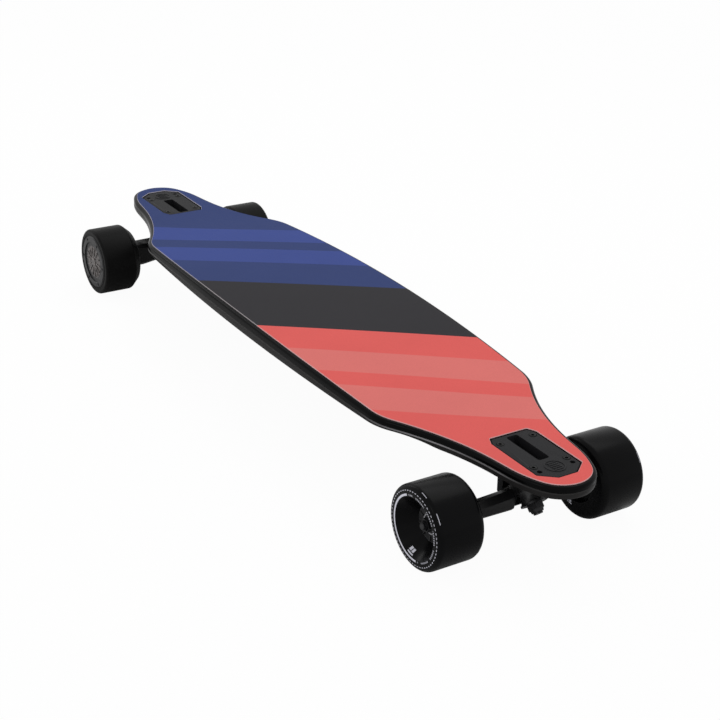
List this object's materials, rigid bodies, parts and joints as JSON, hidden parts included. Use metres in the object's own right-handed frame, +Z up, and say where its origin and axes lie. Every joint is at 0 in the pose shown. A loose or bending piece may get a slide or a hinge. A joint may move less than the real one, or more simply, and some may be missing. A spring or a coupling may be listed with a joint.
{
  "type": "electric skateboard",
  "caption": "Electric longboard with a cambered two-layer deck holding battery and controller, drop-through steering trucks, free front wheels and hub-motor rear wheels.",
  "frame": {"origin": "on the ground under the middle of the deck", "axes": "+X to the nose, +Y left, +Z up"},
  "size_m": [0.976, 0.26, 0.115],
  "materials": {
    "grip": "gritty coloured grip surface",
    "deck_board": "gloss black moulded composite",
    "cover": "satin black",
    "gasket": "soft black foam",
    "black_screws": "black oxide",
    "steel": "zinc plated",
    "battery_plastic": "moulded tray",
    "cell_foil": "pouch foil",
    "circuit": "solder mask",
    "controller_case": "potted box",
    "sink": "anodised",
    "black_plastic": "moulded",
    "port_rubber": "soft rubber",
    "button": "moulded",
    "light": "milky light guide",
    "truck_metal": "black powder coat",
    "cup_plastic": "hard plastic",
    "bushing_urethane": "cast urethane",
    "urethane": "gloss cast urethane",
    "core": "moulded hub",
    "iron": "laminated steel",
    "copper": "enamelled wire",
    "magnet": "nickel plated",
    "motor_metal": "gunmetal anodised"
  },
  "bodies": {
    "deck": {"deck_upper_board": "deck_board", "deck_lower_board": "deck_board", "grip_tape": "grip", "underside_cover": "cover", "cover_gasket": "gasket", "cover_screws": "black_screws", "battery_tray": "battery_plastic", "battery_cells": "cell_foil", "battery_board": "circuit", "motor_controller": "controller_case", "controller_heat_sink": "sink", "charge_port": "black_plastic", "power_button_housing": "black_plastic", "status_light_ring": "light", "motor_cable_gland": "black_plastic", "front_baseplate": "truck_metal", "rear_baseplate": "truck_metal", "mount_bolts": "black_screws", "mount_nuts": "steel", "pivot_cups": "cup_plastic", "kingpins": "steel", "kingpin_nuts": "steel", "bushing_washers": "steel", "front_board_side_bushing": "bushing_urethane", "front_road_side_bushing": "bushing_urethane", "rear_board_side_bushing": "bushing_urethane", "rear_road_side_bushing": "bushing_urethane"},
    "charge_port_cap": {"charge_port_cap": "port_rubber"},
    "power_button": {"power_button": "button"},
    "front_truck": {"front_hanger": "truck_metal", "front_axle": "steel", "front_axle_nuts": "steel", "front_axle_washers": "steel", "front_bearing_inner_rings": "steel", "front_bearing_spacers": "steel"},
    "front_left_wheel": {"front_left_tyre": "urethane", "front_left_core": "core", "front_left_bearings": "steel"},
    "front_right_wheel": {"front_right_tyre": "urethane", "front_right_core": "core", "front_right_bearings": "steel"},
    "rear_truck": {"rear_hanger": "truck_metal", "rear_axle": "steel", "motor_stators": "iron", "motor_windings": "copper"},
    "rear_left_wheel": {"rear_left_tyre": "urethane", "rear_left_motor_can": "motor_metal", "rear_left_motor_cap": "motor_metal", "rear_left_cap_screws": "black_screws", "rear_left_magnets": "magnet", "rear_left_motor_bearings": "steel"},
    "rear_right_wheel": {"rear_right_tyre": "urethane", "rear_right_motor_can": "motor_metal", "rear_right_motor_cap": "motor_metal", "rear_right_cap_screws": "black_screws", "rear_right_magnets": "magnet", "rear_right_motor_bearings": "steel"}
  },
  "joints": [
    {"name": "front_steering", "type": "hinge", "parent": "deck", "child": "front_truck", "pos_m": [0.4065, 0, 0.063], "axis": [0.7071, 0, 0.7071], "range_deg": [-12, 12], "stiffness_Nm_per_rad": 60, "deforming": ["front_board_side_bushing", "front_road_side_bushing"]},
    {"name": "rear_steering", "type": "hinge", "parent": "deck", "child": "rear_truck", "pos_m": [-0.4065, 0, 0.063], "axis": [-0.7071, 0, 0.7071], "range_deg": [-12, 12], "stiffness_Nm_per_rad": 60, "deforming": ["rear_board_side_bushing", "rear_road_side_bushing"]},
    {"name": "front_left_wheel_spin", "type": "hinge", "parent": "front_truck", "child": "front_left_wheel", "pos_m": [0.3965, 0.1, 0.045], "axis": [0, 1, 0], "continuous": true},
    {"name": "front_right_wheel_spin", "type": "hinge", "parent": "front_truck", "child": "front_right_wheel", "pos_m": [0.3965, -0.1, 0.045], "axis": [0, 1, 0], "continuous": true},
    {"name": "rear_left_wheel_spin", "type": "hinge", "parent": "rear_truck", "child": "rear_left_wheel", "pos_m": [-0.3965, 0.1, 0.045], "axis": [0, 1, 0], "continuous": true},
    {"name": "rear_right_wheel_spin", "type": "hinge", "parent": "rear_truck", "child": "rear_right_wheel", "pos_m": [-0.3965, -0.1, 0.045], "axis": [0, 1, 0], "continuous": true},
    {"name": "power_button_press", "type": "slide", "parent": "deck", "child": "power_button", "axis": [0, 0, 1], "range_m": [0, 0.001], "stiffness_N_per_m": 800},
    {"name": "charge_port_cap_hinge", "type": "hinge", "parent": "deck", "child": "charge_port_cap", "pos_m": [-0.272, 0.0372, 0.0918], "axis": [1, 0, 0], "range_deg": [0, 105]}
  ]
}
